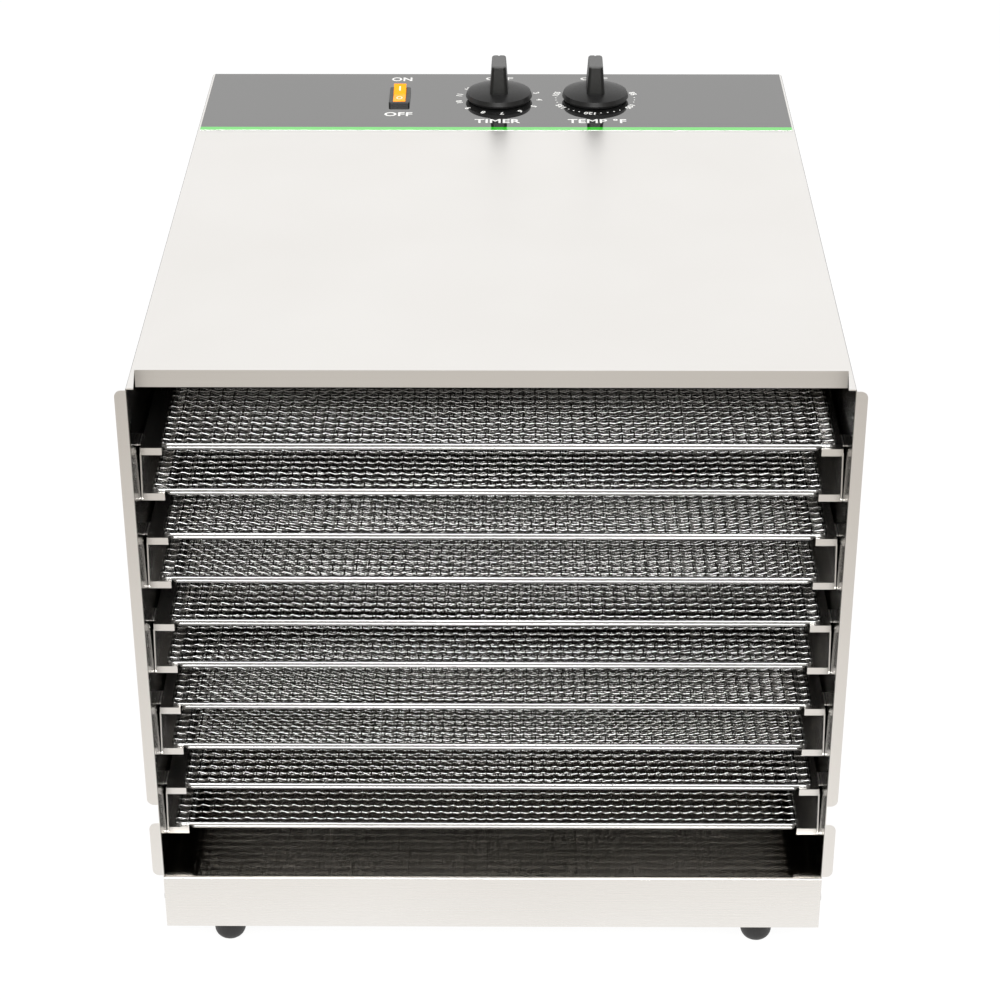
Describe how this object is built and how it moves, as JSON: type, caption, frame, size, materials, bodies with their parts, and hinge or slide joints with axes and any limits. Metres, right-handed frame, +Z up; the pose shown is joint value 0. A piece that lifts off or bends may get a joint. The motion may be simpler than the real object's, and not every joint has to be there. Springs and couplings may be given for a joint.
{
  "type": "food dehydrator",
  "caption": "Stainless cabinet food dehydrator with an open front, slide-out woven wire trays on channel rails, a rear fan and heater, and a rocker switch, timer and thermostat on top.",
  "frame": {"origin": "on the surface it stands on, at the middle of the footprint", "axes": "+X to the right seen from the open front, -Y out of the open front, +Z up"},
  "size_m": [0.4474, 0.525, 0.454],
  "materials": {
    "cover_steel": "satin cold-rolled stainless, grain along the width on the top",
    "base_steel": "satin stainless",
    "floor_steel": "polished stainless",
    "rail_steel": "bright stainless",
    "tray_steel": "bright plated rod",
    "mesh_steel": "bright plated wire",
    "panel_steel": "satin stainless",
    "fastener_steel": "plain",
    "overlay_film": "gloss black film with white print and a green edge stripe",
    "knob_plastic": "fine moulded texture",
    "bezel_plastic": "moulded",
    "rocker_amber": "translucent amber",
    "rubber_black": "moulded rubber",
    "motor_iron": "lacquered laminations",
    "fan_aluminium": "stamped",
    "element_sheath": "heat-darkened sheath",
    "wire_insulation": "insulated wire",
    "moulded_black": "moulded",
    "terminal_plastic": "moulded"
  },
  "bodies": {
    "cabinet": {"base_pan": "base_steel", "base_rivets": "fastener_steel", "control_overlay": "overlay_film", "element_clips": "fastener_steel", "fan_baffle": "panel_steel", "fan_guard": "tray_steel", "fan_motor": "motor_iron", "feet": "rubber_black", "floor_liner": "floor_steel", "foot_screws": "fastener_steel", "heating_element": "element_sheath", "motor_bracket": "panel_steel", "outer_cover": "cover_steel", "power_inlet": "moulded_black", "rail_left_1": "rail_steel", "rail_left_2": "rail_steel", "rail_left_3": "rail_steel", "rail_left_4": "rail_steel", "rail_left_5": "rail_steel", "rail_right_1": "rail_steel", "rail_right_2": "rail_steel", "rail_right_3": "rail_steel", "rail_right_4": "rail_steel", "rail_right_5": "rail_steel", "rear_panel": "panel_steel", "rocker_housing": "bezel_plastic", "side_screws": "fastener_steel", "terminal_block": "terminal_plastic", "thermal_cutout": "moulded_black", "thermostat_body": "moulded_black", "thermostat_bulb": "fastener_steel", "timer_body": "terminal_plastic", "wiring": "wire_insulation"},
    "rocker": {"rocker_button": "rocker_amber"},
    "timer_dial": {"timer_shaft": "fastener_steel", "timer_knob": "knob_plastic"},
    "thermostat_dial": {"thermostat_shaft": "fastener_steel", "thermostat_knob": "knob_plastic"},
    "fan": {"fan_blade": "fan_aluminium", "fan_shaft": "fastener_steel"},
    "tray_01": {"tray_frame_01": "tray_steel", "tray_mesh_01": "mesh_steel"},
    "tray_02": {"tray_frame_02": "tray_steel", "tray_mesh_02": "mesh_steel"},
    "tray_03": {"tray_frame_03": "tray_steel", "tray_mesh_03": "mesh_steel"},
    "tray_04": {"tray_frame_04": "tray_steel", "tray_mesh_04": "mesh_steel"},
    "tray_05": {"tray_frame_05": "tray_steel", "tray_mesh_05": "mesh_steel"},
    "tray_06": {"tray_frame_06": "tray_steel", "tray_mesh_06": "mesh_steel"},
    "tray_07": {"tray_frame_07": "tray_steel", "tray_mesh_07": "mesh_steel"},
    "tray_08": {"tray_frame_08": "tray_steel", "tray_mesh_08": "mesh_steel"},
    "tray_09": {"tray_frame_09": "tray_steel", "tray_mesh_09": "mesh_steel"},
    "tray_10": {"tray_frame_10": "tray_steel", "tray_mesh_10": "mesh_steel"}
  },
  "joints": [
    {"name": "tray_01_slide", "type": "slide", "parent": "cabinet", "child": "tray_01", "axis": [0, -1, 0], "range_m": [0, 0.36]},
    {"name": "tray_02_slide", "type": "slide", "parent": "cabinet", "child": "tray_02", "axis": [0, -1, 0], "range_m": [0, 0.36]},
    {"name": "tray_03_slide", "type": "slide", "parent": "cabinet", "child": "tray_03", "axis": [0, -1, 0], "range_m": [0, 0.36]},
    {"name": "tray_04_slide", "type": "slide", "parent": "cabinet", "child": "tray_04", "axis": [0, -1, 0], "range_m": [0, 0.36]},
    {"name": "tray_05_slide", "type": "slide", "parent": "cabinet", "child": "tray_05", "axis": [0, -1, 0], "range_m": [0, 0.36]},
    {"name": "tray_06_slide", "type": "slide", "parent": "cabinet", "child": "tray_06", "axis": [0, -1, 0], "range_m": [0, 0.36]},
    {"name": "tray_07_slide", "type": "slide", "parent": "cabinet", "child": "tray_07", "axis": [0, -1, 0], "range_m": [0, 0.36]},
    {"name": "tray_08_slide", "type": "slide", "parent": "cabinet", "child": "tray_08", "axis": [0, -1, 0], "range_m": [0, 0.36]},
    {"name": "tray_09_slide", "type": "slide", "parent": "cabinet", "child": "tray_09", "axis": [0, -1, 0], "range_m": [0, 0.36]},
    {"name": "tray_10_slide", "type": "slide", "parent": "cabinet", "child": "tray_10", "axis": [0, -1, 0], "range_m": [0, 0.36]},
    {"name": "rocker_tilt", "type": "hinge", "parent": "cabinet", "child": "rocker", "pos_m": [-0.0722, 0.2113, 0.4222], "axis": [-1, 0, 0], "range_deg": [0, 20]},
    {"name": "timer_turn", "type": "hinge", "parent": "cabinet", "child": "timer_dial", "pos_m": [0.0018, 0.2093, 0.4248], "axis": [0, 0, -1], "range_deg": [0, 311]},
    {"name": "thermostat_turn", "type": "hinge", "parent": "cabinet", "child": "thermostat_dial", "pos_m": [0.0735, 0.2093, 0.4248], "axis": [0, 0, -1], "range_deg": [0, 290]},
    {"name": "fan_spin", "type": "hinge", "parent": "cabinet", "child": "fan", "pos_m": [0, 0.1855, 0.227], "axis": [0, 1, 0], "continuous": true}
  ]
}
